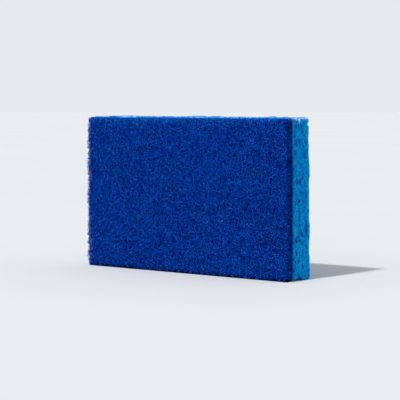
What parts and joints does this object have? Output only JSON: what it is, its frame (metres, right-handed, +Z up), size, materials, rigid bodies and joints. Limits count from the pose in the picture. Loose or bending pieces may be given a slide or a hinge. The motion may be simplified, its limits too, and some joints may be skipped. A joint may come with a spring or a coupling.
{
  "type": "two-sided cleaning sponge",
  "caption": "Rectangular cleaning sponge standing on a long edge: a blue crimped-fibre scouring pad glued over one face of a pale blue open-celled cellulose block.",
  "frame": {"origin": "middle of the footprint, on the surface the sponge stands on", "axes": "+X along the length, +Y through the thickness from the scouring pad to the cellulose wiping face, +Z up the height as it stands on a long edge"},
  "size_m": [0.114, 0.016, 0.07],
  "materials": {
    "scouring_fibre": "lofty web of crimped nylon fibres with mineral grit, matt",
    "adhesive": "thin set glue line, uneven, slightly glossy",
    "cellulose": "dry open-celled cellulose foam, matt"
  },
  "bodies": {
    "root": {"scouring_pad": "scouring_fibre", "bond_layer": "adhesive", "cellulose_sponge": "cellulose"}
  },
  "joints": []
}
